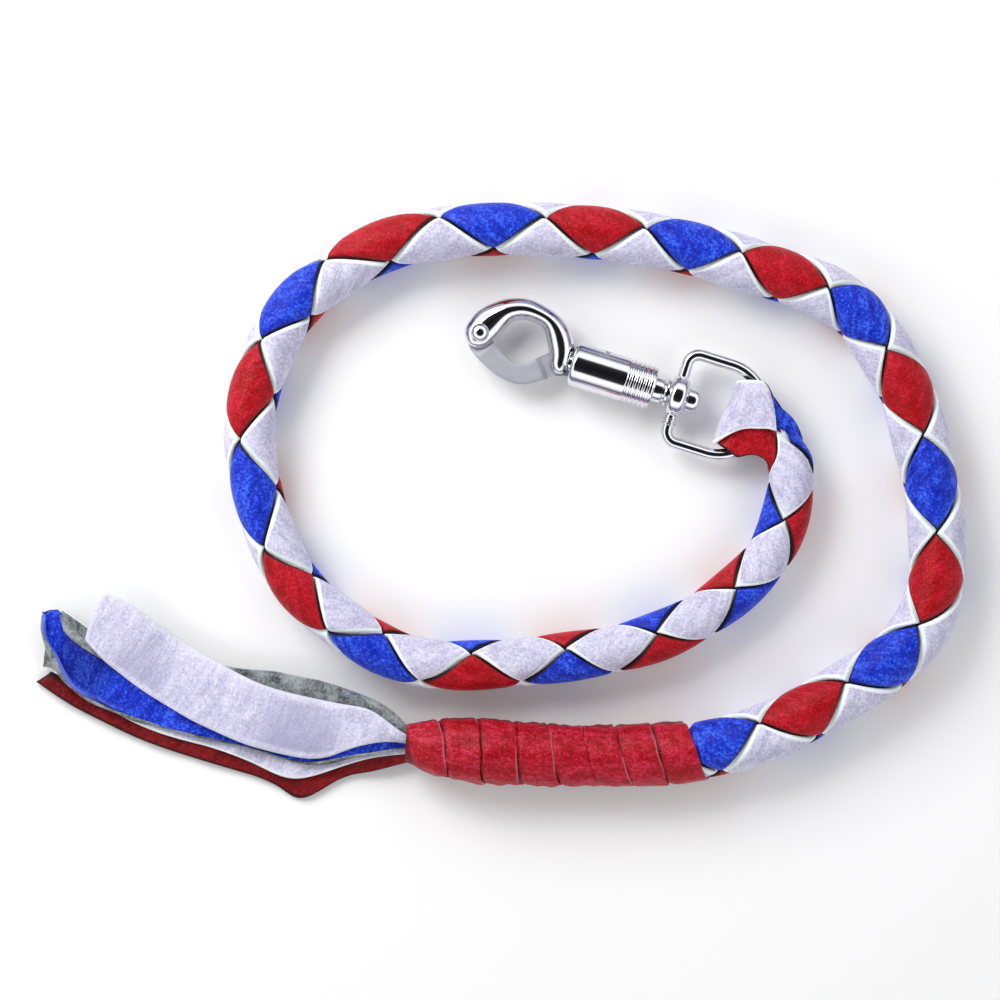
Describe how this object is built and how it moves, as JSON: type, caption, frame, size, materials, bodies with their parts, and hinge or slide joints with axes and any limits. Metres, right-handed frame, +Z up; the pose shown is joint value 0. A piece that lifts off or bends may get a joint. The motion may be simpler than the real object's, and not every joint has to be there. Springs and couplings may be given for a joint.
{
  "type": "lead rope",
  "caption": "Braided leather lead with a wrapped grip and a strip tassel, ending in a D-ring and a swivelling quick-release snap, laid in an open spiral.",
  "frame": {"origin": "on the surface the lead lies on, below the middle of its laid-out bounding box", "axes": "+X to the right along the longest side of the laid-out lead, +Y away from the wrapped grip towards the far side of the spiral, +Z up from the surface"},
  "size_m": [0.316, 0.2019, 0.0216],
  "materials": {
    "white_leather": "smooth grain, satin",
    "red_leather": "smooth grain, satin",
    "blue_leather": "smooth grain, satin",
    "grip_leather": "smooth grain, slightly glossy",
    "core_filler": "rough",
    "nickel": "bright nickel plate",
    "spring_steel": "drawn wire"
  },
  "bodies": {
    "lead": {"braid_strands": "white_leather", "braid_core": "core_filler", "grip_wrap": "grip_leather", "tassel_red": "red_leather", "tassel_white_lower": "white_leather", "tassel_blue": "blue_leather", "tassel_white_upper": "white_leather", "loop_strap_white": "white_leather", "loop_strap_red": "red_leather", "loop_strap_blue": "blue_leather"},
    "ring": {"d_ring": "nickel"},
    "snap": {"snap_body": "nickel", "jaw_rivet": "nickel", "sleeve_spring": "spring_steel"},
    "sleeve": {"snap_sleeve": "nickel"},
    "jaw": {"snap_jaw": "nickel"}
  },
  "joints": [
    {"name": "ring_swing", "type": "hinge", "parent": "lead", "child": "ring", "pos_m": [0.08574, 0.0288, 0.00775], "axis": [0.2555, 0.9668, 0], "range_deg": [0, 12]},
    {"name": "snap_swivel", "type": "hinge", "parent": "ring", "child": "snap", "pos_m": [0.06079, 0.03539, 0.00775], "axis": [0.9548, -0.2974, 0], "continuous": true},
    {"name": "sleeve_slide", "type": "slide", "parent": "snap", "child": "sleeve", "axis": [0.9548, -0.2974, 0], "range_m": [0, 0.005], "stiffness_N_per_m": 300, "springref_m": -0.012, "deforming": ["sleeve_spring"]},
    {"name": "jaw_open", "type": "hinge", "parent": "snap", "child": "jaw", "pos_m": [-0.00627, 0.0568, 0.00775], "axis": [0, 0, 1], "range_deg": [0, 50]}
  ]
}
